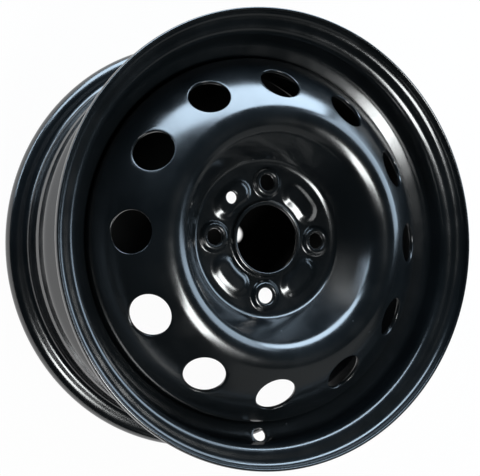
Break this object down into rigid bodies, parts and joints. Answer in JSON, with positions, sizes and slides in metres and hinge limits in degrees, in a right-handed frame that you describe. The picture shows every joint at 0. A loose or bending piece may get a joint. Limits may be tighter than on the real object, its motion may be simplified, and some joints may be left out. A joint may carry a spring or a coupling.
{
  "type": "steel wheel rim",
  "caption": "Black painted pressed-steel road wheel: rolled drop-centre rim, crowned disc with round vent holes, conical bolt seats and centre bore; carries a tyre on a hub.",
  "frame": {"origin": "on the wheel's axis, at the middle plane of the rim", "axes": "+Z along the axis to the outboard face, -Y to the valve hole, +X to a bolt hole"},
  "size_m": [0.3894, 0.3892, 0.1752],
  "materials": {
    "black_paint": "gloss"
  },
  "bodies": {
    "root": {"rim_barrel": "black_paint", "wheel_disc": "black_paint", "weld_beads": "black_paint"}
  },
  "joints": []
}
